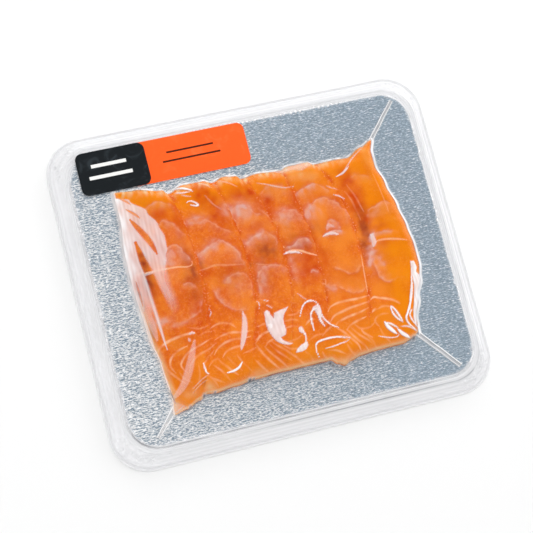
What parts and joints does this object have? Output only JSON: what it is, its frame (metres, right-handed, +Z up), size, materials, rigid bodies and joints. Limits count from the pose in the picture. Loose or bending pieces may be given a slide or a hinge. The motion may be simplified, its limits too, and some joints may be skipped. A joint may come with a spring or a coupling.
{
  "type": "pack of sliced cured salmon",
  "caption": "Flat retail pack: overlapping slices of cured salmon sealed under clear film on a silver card, on a clear formed tray with a raised platform and a plain two-colour label.",
  "frame": {"origin": "middle of the tray's footprint, on the surface that it stands on", "axes": "+X along the long side, towards the end away from the label; +Y along the short side, towards the label; +Z up through the fish"},
  "size_m": [0.2458, 0.2098, 0.0178],
  "materials": {
    "clear_plastic": "clear formed sheet, glossy",
    "silver_card": "foil-faced card with a fine streaked grain, under clear film",
    "salmon": "moist cured fish under tight clear film",
    "orange_label": "satin print",
    "black_label": "satin print"
  },
  "bodies": {
    "root": {"clear_tray": "clear_plastic", "silver_card": "silver_card", "sealed_salmon": "salmon", "label_strip": "orange_label", "label_patch": "black_label"}
  },
  "joints": []
}
